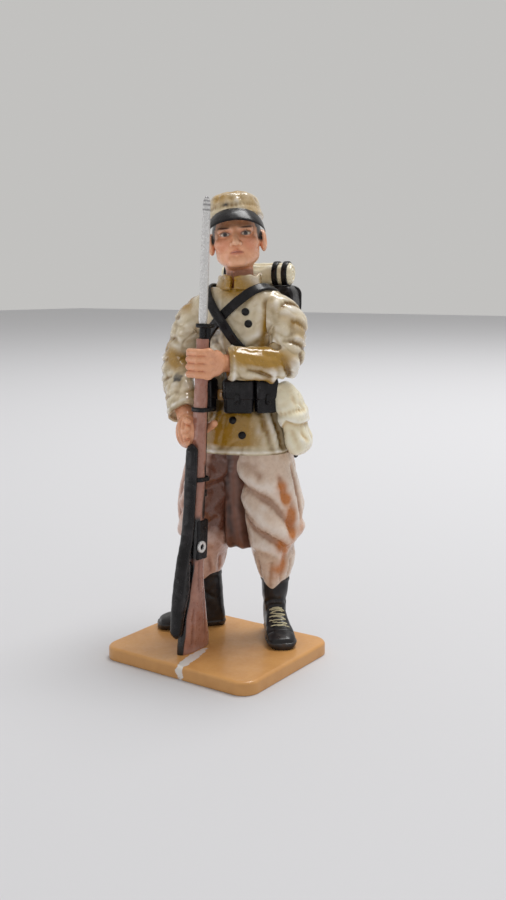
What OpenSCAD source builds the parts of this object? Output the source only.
// Toy soldier: a painted metal figure of an infantryman on a small base.
// Millimetres, Z up. The origin is the middle of the base's underside, -Y is the base's front.
// The figure's own frame stands on the base, turned a little: -Y is its front, +X its left.

/* [Base] */
// Length of the base plate from side to side
base_l = 25; // [23:0.5:30]
// Depth of the base plate from front to back
base_w = 20.5; // [20:0.5:26]
// Thickness of the base plate
base_h = 1.85; // [1.6:0.05:3]
// Radius of the base plate's upright corners
base_corner_r = 2.4; // [1.2:0.1:3.5]
// Bevel along the base plate's top edge
base_bevel = 0.4; // [0.2:0.05:0.7]

/* [Stance] */
// Sideways place of the figure's axis on the base
stance_x = -0.6; // [-1.5:0.1:1]
// Distance of the figure's axis behind the base's middle
stance_y = 6.6; // [5.5:0.1:7]
// Turn of the whole figure towards its left
figure_turn = 15; // [5:1:22]
// Distance of each ankle from the figure's axis
ankle_half = 5.2; // [5:0.05:5.6]
// Turn-out of the left foot
left_foot_turn = 28; // [15:1:40]
// Turn-out of the right foot
right_foot_turn = 59; // [45:1:64]

/* [Boots] */
// Length of a boot from heel to toe
boot_l = 9.9; // [9:0.1:10.6]
// Width of a boot across the ball of the foot
boot_w = 4; // [3.5:0.1:4.3]
// Height of a boot's shaft above the sole
boot_h = 8.5; // [7.5:0.1:9.5]

/* [Trousers] */
// Height of a trouser leg from its cuff to the tunic's hem
leg_h = 18.1; // [16.5:0.1:20]
// Width of a trouser leg where it is fullest
leg_w = 8; // [7.6:0.1:8.4]
// Depth of a trouser leg where it is fullest
leg_d = 8.7; // [7.8:0.1:9.2]
// Distance of a leg's middle from the figure's axis at the hem
hip_half = 3.6; // [3.4:0.05:3.8]
// Thickness of the cloth that hangs between the legs
seat_t = 3.2; // [2.8:0.1:3.4]
// Depth of the hanging cloth from front to back
seat_d = 6.6; // [5.6:0.1:7.4]
// Drop of the hanging cloth below the hem
seat_drop = 14.3; // [12:0.1:15]

/* [Tunic] */
// Height of the tunic's skirt from hem to waist
skirt_h = 8.1; // [7.4:0.1:9]
// Width of the skirt at the hem
skirt_w = 14; // [13.6:0.1:15]
// Depth of the skirt at the hem
skirt_d = 10.8; // [10.4:0.1:11.6]
// Width of the waist
waist_w = 9.6; // [9:0.1:10]
// Depth of the waist
waist_d = 7.2; // [6.8:0.1:7.6]
// Height of the torso from the waist to the foot of the neck
torso_h = 14.5; // [13.8:0.1:15.4]
// Width of the chest
chest_w = 11.6; // [11.2:0.1:12]
// Depth of the chest
chest_d = 8.1; // [7.7:0.1:8.4]
// Distance of each flat arm face from the figure's axis
arm_half = 5.2; // [5:0.05:5.4]
// Outer radius of the stand-up collar
collar_r = 3; // [2.9:0.05:3.1]
// Height of the stand-up collar
collar_h = 2; // [1.6:0.1:2.2]
// Thickness of the collar's cloth
collar_t = 0.5; // [0.4:0.05:0.6]
// Radius of a tunic button
button_r = 0.42; // [0.3:0.02:0.5]
// Thickness of a tunic button
button_t = 0.4; // [0.3:0.05:0.5]

/* [Arms] */
// Length of the upper arm from the flat arm face to the elbow
upper_arm_l = 7.1; // [6.7:0.1:7.5]
// Width of a sleeve
sleeve_w = 4.9; // [4.4:0.1:5.1]
// Sideways swing of the left upper arm
left_arm_out = 27; // [25:1:30]
// Forward swing of the left upper arm
left_arm_fwd = 17; // [15:1:20]
// Sideways swing of the right upper arm
right_arm_out = 38; // [34:1:41]
// Forward swing of the right upper arm
right_arm_fwd = 9; // [6:1:12]
// Length of a hand from the wrist to the middle of its grip
hand_l = 3.4; // [3.2:0.1:3.8]
// Height of a closed hand along the rifle
hand_h = 4; // [3.6:0.1:4.4]
// Shift of the right wrist away from the rifle
right_wrist_out = 1.6; // [1.2:0.1:2]

/* [Head] */
// Height from the foot of the neck to the cap's seat
head_h = 8.9; // [8.6:0.1:9.3]
// Width of the head without the ears
head_w = 7.2; // [6.8:0.1:7.5]
// Depth of the head from brow to back
head_d = 7.8; // [7.4:0.1:8.1]
// Turn of the head towards the figure's left
head_turn = 18; // [0:1:25]
// Lean of the head towards the figure's right
head_lean = 5; // [0:1:7]
// Tilt of the head that lifts the face
head_tilt = 8; // [0:1:10]
// Height of the cap above its seat
cap_h = 3.7; // [3.3:0.1:4.6]
// Length of the visor beyond the cap
visor_l = 1.9; // [1.4:0.1:2.3]
// Thickness of the visor
visor_t = 0.45; // [0.35:0.05:0.6]
// Slope of the visor below level at its middle
visor_slope = 36; // [28:1:45]
// Further slope of the visor at its ends
visor_droop = 22; // [0:1:30]

/* [Belt set] */
// Height of the waist belt
belt_h = 1.5; // [1.2:0.1:1.7]
// Thickness of the waist belt
belt_t = 0.4; // [0.3:0.05:0.5]
// Width of the belt plate
plate_w = 1.1; // [0.9:0.1:1.3]
// Height of a cartridge pouch
pouch_h = 4; // [3.6:0.1:4.2]
// Depth of a cartridge pouch
pouch_d = 1.5; // [1.2:0.1:1.6]
// Width of the left cartridge pouch
left_pouch_w = 3.7; // [3.3:0.1:3.9]
// Width of the pouch on the left hip
side_pouch_w = 2.7; // [2.4:0.1:2.9]
// Width of the right cartridge pouch
right_pouch_w = 2.2; // [1.9:0.1:2.4]
// Width of a shoulder strap
strap_w = 1.3; // [1:0.1:1.5]
// Thickness of a shoulder strap
strap_t = 0.4; // [0.3:0.05:0.5]

/* [Slung gear] */
// Height of the haversack
haversack_h = 10; // [9:0.1:10.2]
// Width of the haversack from front to back
haversack_w = 6; // [5.4:0.1:6.4]
// Thickness of the haversack
haversack_t = 2.8; // [2.2:0.1:3.2]
// Radius of the canteen
canteen_r = 2.5; // [2.1:0.1:2.7]
// Thickness of the canteen
canteen_t = 2; // [1.6:0.1:2.4]
// Length of the bayonet scabbard
scabbard_l = 10; // [9:0.1:11]
// Radius of the bayonet scabbard at its mouth
scabbard_r = 0.55; // [0.45:0.05:0.65]

/* [Pack] */
// Width of the knapsack
pack_w = 11.6; // [10.8:0.1:12]
// Height of the knapsack
pack_h = 10; // [9:0.1:10.6]
// Depth of the knapsack
pack_d = 3.8; // [3.3:0.1:4.4]
// Length of the blanket roll
roll_l = 10.4; // [9.8:0.1:10.8]
// Radius of the blanket roll
roll_r = 1.6; // [1.4:0.05:1.8]
// Thickness of the straps round the roll
roll_strap_t = 0.3; // [0.2:0.05:0.4]
// Width of the straps round the roll
roll_strap_w = 0.8; // [0.6:0.1:1]

/* [Rifle] */
// Sideways place of the butt on the base
rifle_x = -1.2; // [-1.6:0.1:-0.8]
// Distance of the butt in front of the base's middle
rifle_y = 4.05; // [3.9:0.05:4.3]
// Lean of the rifle towards the figure
rifle_lean_back = 2.3; // [1.8:0.1:2.6]
// Lean of the rifle towards the figure's left
rifle_lean_side = 1.2; // [0.8:0.1:1.6]
// Length of the stock from butt to nose
stock_l = 42.6; // [42:0.1:43.4]
// Length of the barrel beyond the stock's nose
muzzle_l = 2; // [1.6:0.1:2.8]
// Depth of the butt at its end
butt_d = 6.2; // [5.6:0.1:6.6]
// Thickness of the butt
butt_t = 2; // [1.8:0.1:2.2]
// Radius of the barrel
barrel_r = 0.5; // [0.4:0.02:0.55]
// Place of the left hand along the rifle
left_grip = 39.4; // [39:0.1:40]
// Place of the right hand along the rifle
right_grip = 30.2; // [29.6:0.1:30.8]
// Width of the sling
sling_w = 1.9; // [1.6:0.1:2.1]
// Thickness of the sling
sling_t = 0.55; // [0.4:0.05:0.7]
// Length of the bayonet's blade
blade_l = 16.3; // [15:0.1:18]
// Width of the bayonet's blade
blade_w = 1.5; // [1.2:0.05:1.7]

/* [Fits] */
// Radius of the small locating pins
pin_r = 0.7; // [0.6:0.05:0.75]
// Radius of the large locating pegs
peg_r = 1.1; // [0.9:0.05:1.2]
// Length of a pin inside its socket
pin_l = 1.2; // [1:0.05:1.3]
// Gap all round a pin, and at the end of its socket
pin_gap = 0.06; // [0.04:0.01:0.1]
// Gap left for glue between two castings
glue_gap = 0.03; // [0.02:0.01:0.06]

/* [Output] */
// Sub-part to draw, or all of them

/* [Hidden] */
// Points round a sculpted section, and round a true circle
sides = 20;
$fn = 40;
// Squareness of sculpted sections: two is an ellipse, more is boxier
cloth_square_share = 2.3;
boot_square_share = 2.6;
wood_square_share = 3;
// Overrun of every cut
cut = 1;

// Length of the rifle from butt to muzzle
rifle_l = stock_l + muzzle_l;

// Heights, from the base up
cuff_z = base_h + boot_h;
hem_z = cuff_z + leg_h;
waist_z = hem_z + skirt_h;
neck_z = waist_z + torso_h;

// Boot sections from toe to shaft: top and bottom point along the boot and up it, half-width
boot_shares = [[0.99, 0.1, 0.995, 0.02, 0.3], [0.955, 0.17, 0.96, 0, 0.7], [0.85, 0.22, 0.85, 0, 0.96],
    [0.69, 0.27, 0.69, 0, 1], [0.53, 0.35, 0.51, 0, 0.9], [0.43, 0.46, 0.28, 0, 0.8],
    [0.41, 0.55, 0.05, 0, 0.76], [0.41, 0.64, 0, 0.14, 0.79], [0.42, 0.73, 0.02, 0.4, 0.84],
    [0.43, 0.87, 0.04, 0.73, 0.92], [0.44, 1, 0.06, 1, 0.96]];
ankle_share = 0.25;

// Trouser leg sections from cuff to hem: height, path from ankle to hip, half-width, half-depth
leg_shares = [[0, 0, 0.5, 0.5], [0.05, 0, 0.6, 0.6], [0.15, -0.03, 0.72, 0.74], [0.34, -0.08, 0.91, 0.93],
    [0.56, 0, 1, 1], [0.78, 0.45, 1, 1], [1, 1, 0.92, 0.98]];
// Forward shift of a trouser leg's middle, against its half-depth
knee_share = 0.12;

// Torso sections above the belt: height, half-width, half-depth
torso_shares = [[0.38, 0.85, 0.91], [0.62, 0.96, 1], [0.76, 1, 0.97], [0.87, 0.96, 0.87],
    [0.94, 0.9, 0.78], [1, 0.7, 0.66]];
torso_rows = concat([[waist_z, waist_w / 2, waist_d / 2], [waist_z + belt_h, waist_w / 2, waist_d / 2]],
    [for (r = torso_shares) [waist_z + torso_h * r[0], chest_w / 2 * r[1], chest_d / 2 * r[2]]]);
// Skirt sections below the belt: height, and the share of the way from the waist out to the hem
skirt_shares = [[0, 1], [0.3, 0.77], [0.6, 0.4], [0.8, 0.1]];
skirt_rows = concat([for (r = skirt_shares) [hem_z + (skirt_h - belt_h / 2) * r[0],
    mix(waist_w, skirt_w, r[1]) / 2, mix(waist_d, skirt_d, r[1]) / 2]],
    [[waist_z - belt_h / 2, waist_w / 2, waist_d / 2], [waist_z, waist_w / 2, waist_d / 2]]);

// Sleeve sections from shoulder to cuff: across the arm's bend, outside it and inside it
sleeve_shares = [[1.06, 1.45, 1.12], [1.04, 1.3, 0.3], [0.98, 1.12, 0.4], [0.9, 1, 0.5],
    [0.82, 0.98, 0.55], [0.74, 1.02, 0.66], [0.68, 1.04, 0.8], [0.64, 1.02, 0.92], [0.64, 0.96, 0.96],
    [0.62, 0.92, 0.92]];
// Where the elbow's curve begins and ends on the upper arm and on the forearm
elbow_share = 0.4;
// Stations on the upper arm before that curve, and on the forearm after it
upper_arm_shares = [0.2, 0.4];
// Outward shift of those two stations, against a sleeve's half-width
shoulder_out_shares = [0.32, 0.22];
forearm_share = 0.75;
shoulder_share = 0.28;
shoulder_z = neck_z - torso_h * shoulder_share;

// Head sections from the foot of the neck to the cap's seat: height, half-width, front, back
head_shares = [[0, 0.5, 0.46, 0.46], [0.2, 0.5, 0.48, 0.48], [0.265, 0.62, 0.86, 0.58],
    [0.32, 0.74, 0.97, 0.68], [0.44, 0.88, 0.97, 0.82], [0.58, 0.96, 0.96, 0.92], [0.74, 1, 0.93, 0.99],
    [0.88, 1, 0.97, 1.02], [1, 1, 0.95, 1.02]];
// Cap sections from the seat to the crown: height, half-width, front, back
cap_shares = [[0, 1.04, 1.02, 1.08], [0.1, 1.08, 1.05, 1.11], [0.4, 1.01, 1, 1.03],
    [0.72, 0.88, 0.87, 0.86], [0.9, 0.69, 0.66, 0.66], [0.98, 0.44, 0.42, 0.42], [1, 0.22, 0.2, 0.2]];
// Nose and ears on the head: heights, and sizes against the head's width
nose_shares = [0.5, 0.72];
nose_r_share = 0.09;
ear_shares = [0.52, 0.68];
ear_r_share = 0.1;
// Half of the angle that the visor spans round the cap
visor_turn = 68;

// Places round the waist, from the front towards the left
plate_turn = -12;
left_pouch_turn = 13;
side_pouch_turn = 52;
right_pouch_turn = -31;
// Share of a pouch's height that its lid covers, and of its width that rounds its corners
lid_share = 0.55;
pouch_round_share = 0.18;
// Share of a pouch's height that hangs below the belt's middle
hang_share = 0.58;
// Step of a lid beyond its pouch
lid_step = 0.12;
stud_r = 0.3;

// Strap loops: heights of the shoulder end and of the hip end on the torso, against its height
strap_top_share = 0.955;
canteen_strap_low_share = 0.36;
haversack_strap_low_share = 0.16;
// Sideways place of the shoulder end against the collar, and of the hip end against the waist
strap_neck_share = 1.28;
strap_hip_share = 0.96;
// Lift of the upper strap over the lower one, against a strap's thickness
cross_share = 1.3;
// Half-width of that lift, against a strap's width
cross_w_share = 1.5;
// Slope of a strap loop's front above its back
canteen_strap_slope = 26;
haversack_strap_slope = 0;
strap_steps = 40;
bisections = 24;
// Small step for measuring slopes
probe = 0.05;

// Haversack sections from bottom to top: height, thickness, width, forward shift
haversack_shares = [[0, 0.45, 0.7, 0], [0.06, 0.8, 0.92, 0], [0.25, 1, 1, 0], [0.44, 0.94, 1, 0],
    [0.46, 1.1, 1.06, 0], [0.64, 1.08, 1, 0.06], [0.78, 1.03, 0.84, 0.2], [0.94, 0.75, 0.56, 0.42],
    [1, 0.4, 0.42, 0.5]];
haversack_top_share = 0.9;
bulge_share = 1.1;
haversack_back_share = 0.12;
canteen_back_share = 0.3;
canteen_drop_share = 1.8;
canteen_neck_r = 0.55;
canteen_neck_l = 0.9;
scabbard_turn = 128;
scabbard_tip_share = 0.6;

// Knapsack flap and corner rounding, against its height and width
flap_share = 0.72;
flap_t = 0.35;
pack_round_share = 0.12;
pack_top_share = 1.02;
pack_pin_share = 0.4;
// Blanket roll sections from end to end: place along it, radius
roll_shares = [[-1, 0.62], [-0.98, 0.84], [-0.92, 1], [0.92, 1], [0.98, 0.84], [1, 0.62]];
// Where the straps sit on the roll
roll_strap_shares = [-0.84, -0.56, 0.56, 0.84];

// Stock sections from butt to nose: place along the stock, half-thickness, under side, barrel side
stock_shares = [[0, 0.94, 1, 0.98], [0.02, 1, 1, 0.98], [0.1, 0.98, 0.8, 0.78], [0.18, 0.9, 0.58, 0.56],
    [0.235, 0.8, 0.4, 0.44], [0.28, 0.8, 0.36, 0.4], [0.33, 0.92, 0.42, 0.42], [0.44, 0.92, 0.4, 0.28],
    [0.62, 0.88, 0.34, 0.24], [0.86, 0.82, 0.3, 0.22], [1, 0.74, 0.27, 0.2]];
barrel_share = 0.25;
barrel_start_share = 0.4;
receiver_shares = [0.3, 0.43];
receiver_w_share = 1.06;
receiver_d_share = 0.36;
receiver_low_share = 0.3;
bolt_share = 0.345;
bolt_r = 0.28;
knob_r = 0.5;
bolt_l = 2.2;
guard_share = 0.27;
guard_r = 1.06;
guard_t = 0.4;
ring_share = 0.345;
ring_low_share = 0.12;
ring_r = 0.8;
ring_t = 0.35;
// Places of the bands: on the way up to the right hand, and on the way from there to the left hand
low_band_share = 0.79;
high_band_share = 0.33;
band_l = 0.9;
band_t = 0.15;
// Top of the sling below the right hand's middle, against the hand's height
sling_hang_share = 0.65;
sling_top = right_grip - hand_h * sling_hang_share;
// Sling route: height against the sling's top, and drop below the rifle's line against the butt's half-depth
sling_shares = [[1, 0.34], [0.864, 0.37], [0.679, 0.42], [0.556, 0.56], [0.463, 0.76], [0.34, 0.94],
    [0.2, 1.04], [0.085, 1.06]];
hilt_r = 0.42;
blade_shares = [[0, 0.85], [0.04, 1], [0.7, 0.9], [0.95, 0.75], [1, 0.3]];
blade_thick_share = 0.62;

// Hands: inner radius of the grip, number of fingers
grip_r = 1.45;
fingers = 4;
thumb_share = 1.1;
// Turns round the grip, from the wrist: first and last of the fingers, first and last of the thumb
left_turns = [-75, -265, 70, 140];
right_turns = [35, 150, -50, -125];
finger_r = hand_h / fingers / 2;

// Buttons on the torso clear of the straps, and on the skirt: height, turn from the front
torso_button_shares = [[0.78, 18], [0.67, 23]];
skirt_button_shares = [[0.57, 3], [0.33, 15]];

// Paints
khaki = [0.76, 0.68, 0.52];
trouser_cream = [0.79, 0.69, 0.6];
flesh = [0.85, 0.6, 0.45];
leather = [0.16, 0.13, 0.14];
canvas = [0.9, 0.86, 0.7];
wood = [0.55, 0.38, 0.32];
gunmetal = [0.15, 0.15, 0.17];
steel = [0.82, 0.82, 0.84];
brass = [0.78, 0.62, 0.3];
ochre = [0.8, 0.6, 0.35];

// Signed power, so that a sine can be made boxier
function spow(x, p) = sign(x) * pow(abs(x), p);
function unit(v) = v / norm(v);
function mix(a, b, t) = a + (b - a) * t;
function mean(r) = [for (p = r) 1 / len(r)] * r;
function turned(p, a) = [p.x * cos(a) - p.y * sin(a), p.x * sin(a) + p.y * cos(a), p.z];

// Ring of points round c: u is the sideways half-axis, f and b the half-axes on its two sides
function ring(c, u, f, b, e) = [for (i = [0 : sides - 1]) let (t = 360 * i / sides, s = sin(t))
    c + u * spow(cos(t), 2 / e) + (s > 0 ? f : b) * pow(abs(s), 2 / e)];

// Level rings from rows of height, half-width and half-depth
function level_rings(rows, e) =
    [for (r = rows) ring([0, 0, r[0]], [r[1], 0, 0], [0, -r[2], 0], [0, r[2], 0], e)];

// Skin over a list of rings, with flat ends, or joined end to end when it is closed
module loft(rings, closed = false) {
    n = len(rings[0]);
    m = len(rings);
    centre = mean(rings[0]);
    facing = cross(rings[0][0] - centre, rings[0][floor(n / 4)] - centre) * (mean(rings[1]) - centre);
    walls = [for (k = [0 : m - (closed ? 1 : 2)], i = [0 : n - 1])
        let (a = k * n + i, b = k * n + (i + 1) % n, up = (k + 1) % m * n)
        each [[a, up + i, up + (i + 1) % n], [a, up + (i + 1) % n, b]]];
    top = (m - 1) * n;
    ends = closed ? [] : [for (i = [1 : n - 2]) each [[0, i, i + 1], [top, top + i + 1, top + i]]];
    faces = concat(walls, ends);
    polyhedron([for (r = rings) each r], facing > 0 ? faces : [for (f = faces) [f[2], f[1], f[0]]]);
}

// The figure's frame on the base, and the same change for a point
module on_figure() translate([stance_x, stance_y, 0]) rotate([0, 0, figure_turn]) children();
function to_figure(p) = turned(p - [stance_x, stance_y, 0], -figure_turn);

// The rifle's frame: Z runs up from the butt, +Y is its barrel side
rifle_foot = [rifle_x, -rifle_y, base_h];
rifle_dir = [cos(rifle_lean_back) * sin(rifle_lean_side), sin(rifle_lean_back),
    cos(rifle_lean_back) * cos(rifle_lean_side)];
module on_rifle() translate(rifle_foot) rotate([-rifle_lean_back, rifle_lean_side, 0]) children();
function rifle_at(s) = to_figure(rifle_foot + rifle_dir * s);

// The head's frame, at the foot of the neck, raised so that its leaning foot clears the torso
neck_lift = glue_gap + head_w / 2 * head_shares[0][1] * sin(head_lean)
    + head_d / 2 * head_shares[0][3] * sin(head_tilt);
module on_head() translate([0, 0, neck_z + neck_lift]) rotate([0, 0, head_turn])
    rotate([-head_tilt, -head_lean, 0]) children();

// Half-width and half-depth of the tunic at a height
function tunic_rows(z) = z < waist_z ? skirt_rows : torso_rows;
function half_w(z) = lookup(z, [for (r = tunic_rows(z)) [r[0], r[1]]]);
function half_d(z) = lookup(z, [for (r = tunic_rows(z)) [r[0], r[2]]]);
// Point on the tunic at a height and a turn from the front, and the way out from it
function tunic_point(z, a) = [half_w(z) * spow(sin(a), 2 / cloth_square_share),
    -half_d(z) * spow(cos(a), 2 / cloth_square_share), z];
function depth_at(p) =
    pow(abs(p.x) / half_w(p.z), cloth_square_share) + pow(abs(p.y) / half_d(p.z), cloth_square_share) - 1;
function out_at(p) = unit([for (d = [[1, 0, 0], [0, 1, 0], [0, 0, 1]])
    depth_at(p + d * probe) - depth_at(p - d * probe)]);
// Farthest distance inside the torso from c along d, by halving
function reach(c, d, low, high, n) = n == 0 ? low : let (m = (low + high) / 2, p = c + d * m)
    p.z < neck_z && depth_at(p) < 0 ? reach(c, d, m, high, n - 1) : reach(c, d, low, m, n - 1);

// Upright face turned to a place round the waist
module at_waist(z, a) {
    p = tunic_point(z, a);
    n = out_at([p.x, p.y, waist_z]);
    translate(p) rotate([0, 0, atan2(n.x, -n.y)]) children();
}

module rounded_square(w, d, r) {
    square([w - 2 * r, d], center = true);
    square([w, d - 2 * r], center = true);
    for (x = [-1, 1], y = [-1, 1]) translate([x * (w / 2 - r), y * (d / 2 - r)]) circle(r);
}

// Socket for a pin of radius r and length l that comes from below
module socket(r, l) translate([0, 0, -cut]) cylinder(h = cut + l + pin_gap, r = r + pin_gap);

// Socket for a pin of radius r that comes from above
module top_socket(r) translate([0, 0, -pin_l - pin_gap]) cylinder(h = pin_l + pin_gap + cut, r = r + pin_gap);

module ankles() for (side = [-1, 1]) translate([side * ankle_half, 0, 0]) children();

// Base plate: a slab, and a bevelled top layer of two wedges and four corner cones
module base_plate() color(ochre) difference() {
    union() {
        linear_extrude(base_h - base_bevel) rounded_square(base_l, base_w, base_corner_r);
        translate([0, 0, base_h - base_bevel]) {
            wedge(base_l - 2 * base_corner_r, base_w);
            rotate([0, 0, 90]) wedge(base_w - 2 * base_corner_r, base_l);
            for (x = [-1, 1], y = [-1, 1])
                translate([x * (base_l / 2 - base_corner_r), y * (base_w / 2 - base_corner_r), 0])
                    cylinder(h = base_bevel, r1 = base_corner_r, r2 = base_corner_r - base_bevel);
        }
    }
    on_figure() ankles() translate([0, 0, base_h]) top_socket(pin_r);
    translate(rifle_foot) top_socket(pin_r);
}

// Bar of length l with sloping long sides, as high as the bevel
module wedge(l, w) rotate([90, 0, 90]) linear_extrude(l, center = true)
    polygon([[-w / 2, 0], [w / 2, 0], [w / 2 - base_bevel, base_bevel], [base_bevel - w / 2, base_bevel]]);

// Boot: sections that swing from upright at the toe to level at the shaft
module boot(side, turn) color(leather) on_figure()
translate([side * ankle_half, 0, base_h]) rotate([0, 0, side * turn]) {
    along = [0, -boot_l, 0];
    up = [0, 0, boot_h - glue_gap];
    loft([for (r = boot_shares) let (top = along * (r[0] - ankle_share) + up * r[1],
        low = along * (r[2] - ankle_share) + up * r[3], half = (top - low) / 2)
        ring(low + half, [boot_w / 2 * r[4], 0, 0], half, -half, boot_square_share)]);
    translate([0, 0, -pin_l]) cylinder(h = pin_l + boot_h / 2, r = pin_r);
    translate([0, 0, boot_h / 2]) cylinder(h = boot_h / 2 + pin_l, r = pin_r);
}

module left_boot() boot(1, left_foot_turn);
module right_boot() boot(-1, right_foot_turn);

// Trouser leg: flat where it meets the hanging cloth, with sockets for the boot and for the dowel
module trouser_leg(side) color(trouser_cream) on_figure() difference() {
    union() {
        loft([for (r = leg_shares) ring([side * mix(ankle_half, hip_half, r[1]),
            -leg_d / 2 * knee_share * sin(180 * r[0]), cuff_z + (leg_h - glue_gap) * r[0]],
            [side * leg_w / 2 * r[2], 0, 0], [0, -leg_d / 2 * r[3], 0], [0, leg_d / 2 * r[3], 0],
            cloth_square_share)]);
        translate([side * hip_half, 0, hem_z - cut]) cylinder(h = cut + pin_l, r = peg_r);
    }
    translate([side * (seat_t / 2 + glue_gap - leg_w), 0, cuff_z + leg_h / 2])
        cube([2 * leg_w, 2 * leg_d, 2 * leg_h], center = true);
    translate([side * ankle_half, 0, cuff_z]) socket(pin_r, pin_l);
    seat_dowel(pin_gap);
}

module left_trouser_leg() trouser_leg(1);
module right_trouser_leg() trouser_leg(-1);

// Dowel through the hanging cloth that holds the two legs
module seat_dowel(gap) translate([0, 0, hem_z - seat_drop / 2]) rotate([0, 90, 0])
    cylinder(h = seat_t + 2 * (pin_l + gap), r = pin_r + gap, center = true);

module trouser_seat() color(trouser_cream) on_figure() {
    translate([-seat_t / 2, 0, hem_z - glue_gap]) rotate([90, 0, 90]) linear_extrude(seat_t)
        polygon([for (t = [0 : 10 : 180]) [-seat_d / 2 * spow(cos(t), 2 / wood_square_share),
            -seat_drop * pow(sin(t), 2 / wood_square_share)]]);
    seat_dowel(0);
}

// Tunic skirt: flat underneath, with sockets for the legs' pegs and for the torso's
module tunic_skirt() color(khaki) on_figure() difference() {
    loft(level_rings([for (r = skirt_rows) [min(r[0], waist_z - glue_gap), r[1], r[2]]], cloth_square_share));
    for (side = [-1, 1]) translate([side * hip_half, 0, hem_z]) socket(peg_r, pin_l);
    translate([0, 0, waist_z]) top_socket(peg_r);
}

// Torso: flat arm faces with sockets, a neck socket and a socket for the knapsack's pin
module tunic_torso() color(khaki) on_figure() difference() {
    union() {
        loft(level_rings(torso_rows, cloth_square_share));
        translate([0, 0, waist_z - pin_l]) cylinder(h = pin_l + cut, r = peg_r);
    }
    for (side = [-1, 1]) {
        translate([side * (arm_half + chest_w / 2), 0, neck_z - torso_h / 2])
            cube([chest_w, 2 * chest_d, 2 * torso_h], center = true);
        translate([side * arm_half, 0, shoulder_z]) rotate([0, -side * 90, 0]) socket(peg_r, pin_l);
    }
    translate([0, 0, neck_z]) top_socket(peg_r);
    translate([0, chest_d, pack_pin_z]) rotate([90, 0, 0])
        cylinder(h = chest_d / 2 + pin_l + pin_gap, r = pin_r + pin_gap);
}

module tunic_collar() color(khaki) on_figure() translate([0, 0, neck_z + glue_gap]) difference() {
    cylinder(h = collar_h, r1 = collar_r, r2 = collar_r - collar_t / 2);
    translate([0, 0, -cut]) cylinder(h = collar_h + 2 * cut, r = collar_r - collar_t);
}

// Arms: shoulder, elbow, grip and wrist of each side
function shoulder(side) = [side * (arm_half + glue_gap), 0, shoulder_z];
function elbow(side, swing, fwd) = shoulder(side) + upper_arm_l * [side * sin(swing) * cos(fwd), -sin(fwd),
    -cos(swing) * cos(fwd)];
left_elbow = elbow(1, left_arm_out, left_arm_fwd);
right_elbow = elbow(-1, right_arm_out, right_arm_fwd);
left_wrist = rifle_at(left_grip) + hand_l * unit(left_elbow - rifle_at(left_grip));
right_wrist = rifle_at(right_grip) + hand_l * unit(right_elbow - rifle_at(right_grip))
    - [right_wrist_out, 0, 0];

// Sleeve: starts flat on the arm face, bends once at the elbow, ends flat at the wrist. Its body's side is
// cut back so that it clears the torso and the straps
module sleeve(side, bend, wrist) color(khaki) on_figure() difference() {
    start = shoulder(side);
    across = unit(cross(unit(bend - start), unit(wrist - bend)));
    enter = mix(start, bend, 1 - elbow_share);
    leave = mix(bend, wrist, elbow_share);
    curve = [for (t = [0.25 : 0.25 : 0.75]) mix(mix(enter, bend, t), mix(bend, leave, t), t)];
    path = concat([start], [for (k = [0, 1]) mix(start, bend, upper_arm_shares[k])
        + [side * sleeve_w / 2 * shoulder_out_shares[k], 0, 0]], [enter], curve,
        [leave, mix(bend, wrist, forearm_share), wrist]);
    last = len(path) - 1;
    union() {
        difference() {
            loft([for (k = [0 : last]) let (
                way = k == 0 ? [side, 0, 0]
                    : k == last ? unit(wrist - bend) : unit(path[k + 1] - path[k - 1]),
                flat = k == 0 ? [0, side * sign(across.y * side), 0] : across,
                tall = unit(cross(way, flat)),
                wide = cross(tall, way),
                half = sleeve_shares[k] * sleeve_w / 2)
                ring(path[k], wide * half[0], tall * half[1], -tall * half[2], cloth_square_share)]);
            translate([side * (arm_half + glue_gap / 2 - chest_w / 2), 0, shoulder_z])
                cube([chest_w, chest_d + 4 * strap_t, 4 * upper_arm_l], center = true);
        }
        translate(start + [side * cut, 0, 0]) rotate([0, -side * 90, 0])
            cylinder(h = cut + pin_l, r = peg_r);
    }
    translate(wrist) along(bend - wrist) socket(pin_r, pin_l);
}

// Turns Z to point along v
module along(v) rotate([0, acos(v.z / norm(v)), atan2(v.y, v.x)]) children();

module left_sleeve() sleeve(1, left_elbow, left_wrist);
module right_sleeve() sleeve(-1, right_elbow, right_wrist);

// Hand: a palm, stacked fingers and a thumb round the rifle, in a frame whose X points to the wrist
module hand(grip, wrist, bend, turns) color(flesh) on_figure() {
    axis = turned(rifle_dir, -figure_turn);
    reach = wrist - grip;
    out = unit(reach - axis * (reach * axis));
    side = cross(axis, out);
    local = [reach * out, reach * side, reach * axis];
    arm = bend - wrist;
    back = [arm * out, arm * side, arm * axis];
    multmatrix([for (i = [0 : 2]) [out[i], side[i], axis[i], grip[i]]]) difference() {
        union() {
            for (k = [0 : fingers - 1]) digit(turns[0], turns[1], finger_r * (2 * k + 1 - fingers), finger_r);
            digit(turns[2], turns[3], finger_r, finger_r * thumb_share);
            palm(turns[0], local, back);
            palm(turns[2], local, back);
        }
        cylinder(h = 4 * hand_h, r = grip_r - pin_gap, center = true);
        translate(local) along(back) translate([0, 0, -glue_gap]) cylinder(h = hand_l, r = sleeve_w);
    }
    translate(wrist) along(arm) translate([0, 0, -pin_l / 2]) cylinder(h = pin_l / 2 + pin_l, r = pin_r);
}

// One finger bent round the grip between two angles
module digit(first, last, z, r) {
    steps = 3;
    spot = [for (i = [0 : steps]) let (a = mix(first, last, i / steps))
        [cos(a), sin(a), 0] * (grip_r + r) + [0, 0, z]];
    for (i = [0 : steps - 1]) hull() {
        translate(spot[i]) sphere(r, $fn = 8);
        translate(spot[i + 1]) sphere(r, $fn = 8);
    }
}

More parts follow.
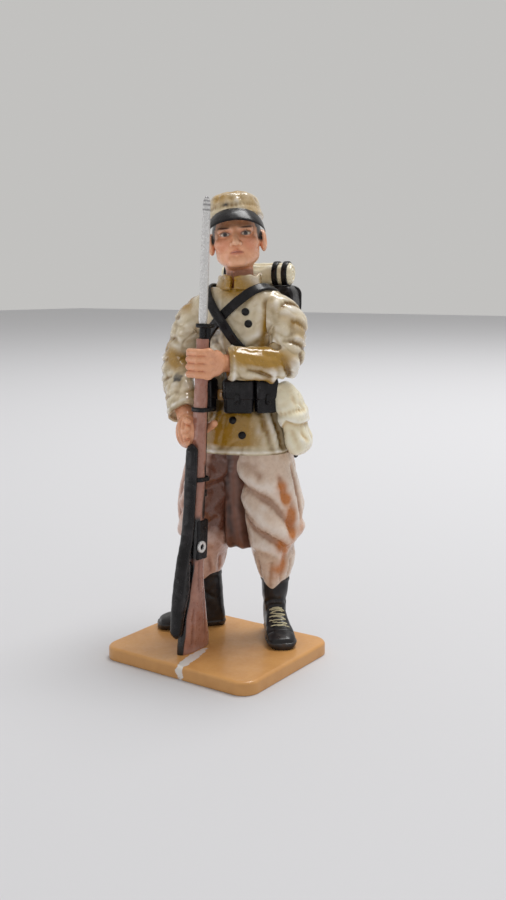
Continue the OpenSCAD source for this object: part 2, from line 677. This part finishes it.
// Back of the hand, from the roots of the fingers to the wrist
module palm(a, wrist, back) hull() {
    root = [cos(a), sin(a), 0] * (grip_r + finger_r);
    for (z = [-1, 1]) translate(root + [0, 0, z * (hand_h / 2 - finger_r)]) sphere(finger_r, $fn = 8);
    translate(wrist) along(back)
        cylinder(h = pin_l, r = hand_h / 2 - finger_r / 2, center = true, $fn = 16);
}

module left_hand() hand(rifle_at(left_grip), left_wrist, left_elbow, left_turns);
module right_hand() hand(rifle_at(right_grip), right_wrist, right_elbow, right_turns);

// Head: a plain skull and jaw, with a nose and ears, a flat seat for the cap and a neck pin
module head() color(flesh) on_figure() {
    on_head() difference() {
        union() {
            loft([for (r = head_shares) ring([0, 0, head_h * r[0]], [head_w / 2 * r[1], 0, 0],
                [0, -head_d / 2 * r[2], 0], [0, head_d / 2 * r[3], 0], cloth_square_share)]);
            hull() for (s = nose_shares)
                translate([0, -head_d / 2, head_h * s]) sphere(head_w * nose_r_share, $fn = 12);
            for (side = [-1, 1]) hull() for (s = ear_shares)
                translate([side * head_w / 2, 0, head_h * s]) sphere(head_w * ear_r_share, $fn = 12);
        }
        translate([0, 0, head_h]) top_socket(peg_r);
    }
    translate([0, 0, neck_z - pin_l]) cylinder(h = 2 * pin_l, r = peg_r);
}

// Cap: a soft covered crown on the head's flat seat
module cap() color(khaki) on_figure() on_head() translate([0, 0, head_h + glue_gap]) {
    loft([for (r = cap_shares) ring([0, 0, cap_h * r[0]], [head_w / 2 * r[1], 0, 0],
        [0, -head_d / 2 * r[2], 0], [0, head_d / 2 * r[3], 0], cloth_square_share)]);
    translate([0, 0, -pin_l]) cylinder(h = 2 * pin_l, r = peg_r);
}

// Visor: follows the front of the cap's lower edge and slopes down
module cap_visor() color(leather) on_figure() on_head() translate([0, 0, head_h + cap_h * cap_shares[1][0]])
    loft([for (a = [-visor_turn : visor_turn / 8 : visor_turn]) let (
        edge = [head_w / 2 * cap_shares[1][1] * spow(sin(a), 2 / cloth_square_share),
            -head_d / 2 * cap_shares[1][2] * spow(cos(a), 2 / cloth_square_share), 0],
        out = unit([sin(a), -cos(a), 0]),
        reach = visor_l * (1 - pow(abs(a) / visor_turn, 3)) + visor_t,
        down = visor_slope + visor_droop * pow(a / visor_turn, 2),
        slope = out * cos(down) - [0, 0, sin(down)],
        in = edge + out * (glue_gap + visor_t * sin(down)))
        [in, in + slope * reach, in + slope * reach - [0, 0, visor_t], in - [0, 0, visor_t]]]);

// Waist belt over the joint between skirt and torso
module waist_belt() color(leather) on_figure()
    translate([0, 0, waist_z - belt_h / 2]) linear_extrude(belt_h) difference() {
        belt_outline(belt_t);
        belt_outline(glue_gap);
    }

module belt_outline(grow) {
    wide = [waist_w / 2 + grow, 0, 0];
    deep = [0, waist_d / 2 + grow, 0];
    polygon([for (p = ring([0, 0, 0], wide, -deep, deep, cloth_square_share)) [p.x, p.y]]);
}

module belt_plate() color(brass) on_figure() at_waist(waist_z, plate_turn)
    translate([-plate_w / 2, -belt_t * 2 - glue_gap, -belt_h / 2]) cube([plate_w, belt_t, belt_h]);

// Cartridge pouch: a rounded box with a deeper lid and a stud
module pouch(w, turn) color(leather) on_figure() at_waist(waist_z, turn)
    translate([0, -belt_t - 2 * lid_step - pouch_d / 2, -pouch_h * hang_share]) {
        linear_extrude(pouch_h) rounded_square(w, pouch_d, w * pouch_round_share);
        translate([0, 0, pouch_h * (1 - lid_share)]) linear_extrude(pouch_h * lid_share)
            rounded_square(w + 2 * lid_step, pouch_d + 2 * lid_step, w * pouch_round_share);
        translate([0, 0, pouch_h * lid_share / 2]) rotate([90, 0, 0])
            cylinder(h = pouch_d / 2 + lid_step * 2, r = stud_r);
    }

module left_pouch() pouch(left_pouch_w, left_pouch_turn);
module side_pouch() pouch(side_pouch_w, side_pouch_turn);
module right_pouch() pouch(right_pouch_w, right_pouch_turn);

// Strap loop: lies on the torso where a slanting plane cuts it, from one shoulder to the other hip
module strap_loop(side, lift, front_slope, low_share) color(leather) on_figure() {
    high = [side * collar_r * strap_neck_share, 0, waist_z + torso_h * strap_top_share];
    low = [-side * waist_w / 2 * strap_hip_share, 0, waist_z + torso_h * low_share];
    centre = (high + low) / 2;
    rise = unit(high - low);
    front = [0, -cos(front_slope), sin(front_slope)];
    spot = [for (i = [0 : strap_steps - 1]) let (
        a = 360 * i / strap_steps,
        d = rise * cos(a) + front * sin(a))
        centre + d * reach(centre, d, 0, torso_h, bisections)];
    loft([for (i = [0 : strap_steps - 1]) let (
        p = spot[i],
        way = unit(spot[(i + 1) % strap_steps] - spot[(i + strap_steps - 1) % strap_steps]),
        out = out_at(p - [0, 0, probe]),
        wide = unit(cross(out, way)) * strap_w / 2,
        away = abs(p.x + strap_w / 2) / strap_w / cross_w_share,
        base = glue_gap + probe + strap_t * lift * min(1, max(0, 2 - away)))
        [p - wide + out * base, p + wide + out * base,
            p + wide + out * (base + strap_t), p - wide + out * (base + strap_t)]], closed = true);
}

module canteen_strap() strap_loop(1, 0, canteen_strap_slope, canteen_strap_low_share);
module haversack_strap() strap_loop(-1, cross_share, haversack_strap_slope, haversack_strap_low_share);

// Gear on a hip leans out with the flare of the skirt
hip_lean = atan((skirt_w - waist_w) / 2 / skirt_h);
module at_hip(side, back)
    translate([side * (waist_w / 2 + belt_t), back, waist_z]) rotate([0, -side * hip_lean, 0]) children();

// Haversack: one section after another from bottom to top, with a step at the flap's edge
module haversack() color(canvas) on_figure() at_hip(1, haversack_w * haversack_back_share)
    loft([for (r = haversack_shares) let (deep = [0, haversack_w / 2 * r[2], 0])
        ring([haversack_t / 2 * bulge_share + glue_gap, -haversack_w / 2 * r[3],
            haversack_h * (r[0] - haversack_top_share)],
            [haversack_t / 2 * r[1], 0, 0], -deep, deep, wood_square_share)]);

// Canteen: a flat round flask with a neck and a stopper
module canteen() color(canvas) on_figure() at_hip(-1, canteen_r * 2 * canteen_back_share)
    translate([-glue_gap - canteen_t / 2, 0, -canteen_r * canteen_drop_share]) {
        rotate([0, 90, 0]) cylinder(h = canteen_t, r = canteen_r, center = true);
        translate([0, 0, canteen_r - canteen_neck_r])
            cylinder(h = canteen_neck_l + canteen_neck_r, r = canteen_neck_r);
    }

// Scabbard: a slim cone that hangs behind the haversack
module bayonet_scabbard() color(leather) on_figure() {
    top = tunic_point(waist_z, scabbard_turn);
    hem = tunic_point(hem_z, scabbard_turn);
    out = unit([hem.x - top.x, hem.y - top.y, 0]);
    step = out * (scabbard_r + belt_t + glue_gap);
    translate(hem + step) along(top - hem) translate([0, 0, -(scabbard_l - norm(top - hem))])
        cylinder(h = scabbard_l, r1 = scabbard_r * scabbard_tip_share, r2 = scabbard_r);
}

// Knapsack: stands clear of the straps on the back and is held by one pin
pack_z = waist_z + torso_h * pack_top_share - pack_h / 2;
pack_pin_z = pack_z - pack_h * pack_pin_share;
pack_y = chest_d / 2 + (2 + cross_share) * strap_t + glue_gap + probe;
module knapsack() color(leather) on_figure() translate([0, pack_y, pack_z]) {
    rotate([-90, 0, 0]) linear_extrude(pack_d) rounded_square(pack_w, pack_h, pack_w * pack_round_share);
    translate([0, pack_d, pack_h * (1 - flap_share) / 2]) rotate([-90, 0, 0]) linear_extrude(flap_t)
        rounded_square(pack_w, pack_h * flap_share, pack_w * pack_round_share);
    translate([0, pack_d / 2, pack_pin_z - pack_z]) rotate([90, 0, 0])
        cylinder(h = pack_d / 2 + pack_y - chest_d / 2 + pin_l, r = pin_r);
}

// Blanket roll: lies across the knapsack's top
roll_top = pack_h / 2 + roll_r + glue_gap;
module at_roll() translate([0, pack_y + pack_d / 2, pack_z + roll_top]) children();
module blanket_roll() color(canvas) on_figure() at_roll()
    loft([for (r = roll_shares) let (deep = [0, roll_r * r[1], 0])
        ring([roll_l / 2 * r[0], 0, 0], [0, 0, roll_r * r[1]], -deep, deep, 2)]);

// Straps round the roll, two at each end
module roll_straps() color(leather) on_figure() at_roll() for (s = roll_strap_shares)
    translate([s * roll_l / 2, 0, 0]) rotate([0, 90, 0]) difference() {
        cylinder(h = roll_strap_w, r = roll_r + roll_strap_t, center = true);
        cylinder(h = roll_strap_w + cut, r = roll_r + glue_gap, center = true);
        translate([roll_r + roll_strap_t, 0, 0])
            cube([2 * roll_strap_t, 2 * roll_r, 2 * roll_strap_w], center = true);
    }

// Rifle stock: butt, wrist and forestock, let in for the barrel and the receiver, flat on the base
module rifle_stock() color(wood) {
    difference() {
        on_rifle() difference() {
            loft([for (r = stock_shares) ring([0, 0, stock_l * r[0] - (r[0] == 0 ? butt_t / 4 : 0)],
                [butt_t / 2 * r[1], 0, 0], [0, -butt_d / 2 * r[2], 0], [0, butt_d / 2 * r[3], 0],
                wood_square_share)]);
            barrel_line(barrel_start_share * stock_l - cut) cylinder(h = rifle_l, r = barrel_r + glue_gap);
            receiver_block(glue_gap);
        }
        translate(rifle_foot + [0, 0, glue_gap - butt_d]) cube(2 * butt_d, center = true);
    }
    translate(rifle_foot - [0, 0, pin_l]) cylinder(h = pin_l + butt_t, r = pin_r);
}

// Place on the barrel's line at a height
module barrel_line(z) translate([0, butt_d / 2 * barrel_share, z]) children();

module rifle_barrel() color(gunmetal) on_rifle() barrel_line(receiver_shares[1] * stock_l + glue_gap)
    cylinder(h = rifle_l - receiver_shares[1] * stock_l - glue_gap, r = barrel_r);

module receiver_block(gap) {
    w = butt_t * receiver_w_share + 2 * gap;
    d = butt_d * receiver_d_share;
    translate([-w / 2, -butt_d / 2 * receiver_low_share - gap, stock_l * receiver_shares[0] - gap])
        cube([w, d + gap, stock_l * (receiver_shares[1] - receiver_shares[0]) + 2 * gap]);
}

module rifle_receiver() color(gunmetal) on_rifle() receiver_block(0);

// Bolt: a handle out to the figure's right, with a knob
module rifle_bolt() color(gunmetal) on_rifle()
    translate([-butt_t / 2 * receiver_w_share - glue_gap, butt_d / 2 * barrel_share, stock_l * bolt_share])
        rotate([0, -90, 0]) {
            cylinder(h = bolt_l, r = bolt_r);
            translate([0, 0, bolt_l]) sphere(knob_r);
        }

// Trigger guard: a flat ring under the wrist
module trigger_guard() color(gunmetal) on_rifle() {
    translate([0, -butt_d / 2 * stock_shares[6][2] - glue_gap, stock_l * guard_share])
        difference() {
            rotate([0, 90, 0]) cylinder(h = butt_t / 2, r = guard_r, center = true);
            rotate([0, 90, 0]) cylinder(h = butt_t, r = guard_r - guard_t, center = true);
            translate([0, 2 * guard_r, 0]) cube(4 * guard_r, center = true);
        }
}

// Sling ring: flat against the receiver's left flank
module sling_ring() color(steel) on_rifle()
    translate([butt_t / 2 * receiver_w_share + glue_gap, -butt_d / 2 * ring_low_share, stock_l * ring_share])
        rotate([0, 90, 0]) difference() {
            cylinder(h = ring_t, r = ring_r);
            translate([0, 0, -cut]) cylinder(h = ring_t + 2 * cut, r = ring_r - ring_t);
        }

// Bands round stock and barrel
module rifle_bands() color(gunmetal) on_rifle() for (z = [right_grip * low_band_share,
    mix(right_grip, left_grip, high_band_share)]) {
    under = butt_d / 2 * lookup(z / stock_l, [for (r = stock_shares) [r[0], r[2]]]);
    half = butt_t / 2 * lookup(z / stock_l, [for (r = stock_shares) [r[0], r[1]]]);
    over = butt_d / 2 * barrel_share + barrel_r;
    translate([0, (over - under) / 2, z]) linear_extrude(band_l, center = true) difference() {
        square([2 * (half + glue_gap + band_t), over + under + 2 * (glue_gap + band_t)], center = true);
        square([2 * (half + glue_gap), over + under + 2 * glue_gap], center = true);
    }
}

// Sling: a flat band down the rifle's under side to the toe of the butt
module rifle_sling() color(leather) on_rifle() {
    path = [for (r = sling_shares) [0, -butt_d / 2 * r[1] - sling_t, sling_top * r[0]]];
    last = len(path) - 1;
    loft([for (k = [0 : last]) let (way = unit(path[min(k + 1, last)] - path[max(k - 1, 0)]),
        thick = cross(way, [1, 0, 0]) * sling_t / 2, wide = [sling_w / 2, 0, 0])
        [path[k] - wide - thick, path[k] + wide - thick, path[k] + wide + thick, path[k] - wide + thick]]);
}

// Bayonet: a hilt beside the muzzle, and a long blade beyond it
hilt_l = rifle_l - stock_l - glue_gap;
hilt_y = butt_d / 2 * barrel_share - barrel_r - hilt_r - glue_gap;
module bayonet_hilt() color(gunmetal) on_rifle() {
    translate([0, hilt_y, rifle_l - hilt_l]) cylinder(h = hilt_l, r = hilt_r);
    difference() {
        hull() {
            translate([0, hilt_y, rifle_l - hilt_l / 4]) cylinder(h = hilt_l / 4, r = hilt_r + guard_t / 2);
            barrel_line(rifle_l - hilt_l / 4) cylinder(h = hilt_l / 4, r = barrel_r + guard_t);
        }
        barrel_line(0) cylinder(h = 2 * rifle_l, r = barrel_r + glue_gap);
    }
}

module bayonet_blade() color(steel) on_rifle() translate([0, hilt_y, rifle_l + glue_gap])
    loft([for (r = blade_shares) ring([0, 0, blade_l * r[0]], [blade_w / 2 * r[1] * blade_thick_share, 0, 0],
        [0, -blade_w / 2 * r[1], 0], [0, blade_w / 2 * r[1], 0], 2)]);

// Buttons down the front of the tunic
module tunic_buttons() color(leather) on_figure() {
    for (r = torso_button_shares) button(waist_z + torso_h * r[0], r[1]);
    for (r = skirt_button_shares) button(hem_z + skirt_h * r[0], r[1]);
}

module button(z, a) {
    p = tunic_point(z, a);
    out = out_at(p);
    translate(p + out * (glue_gap + probe)) along(out) cylinder(h = button_t, r = button_r);
}

base_plate();
left_boot();
right_boot();
left_trouser_leg();
right_trouser_leg();
trouser_seat();
tunic_skirt();
tunic_torso();
tunic_collar();
left_sleeve();
right_sleeve();
left_hand();
right_hand();
head();
cap();
cap_visor();
waist_belt();
belt_plate();
left_pouch();
side_pouch();
right_pouch();
canteen_strap();
haversack_strap();
haversack();
canteen();
bayonet_scabbard();
knapsack();
blanket_roll();
roll_straps();
rifle_stock();
rifle_barrel();
rifle_receiver();
rifle_bolt();
trigger_guard();
sling_ring();
rifle_bands();
rifle_sling();
bayonet_hilt();
bayonet_blade();
tunic_buttons();
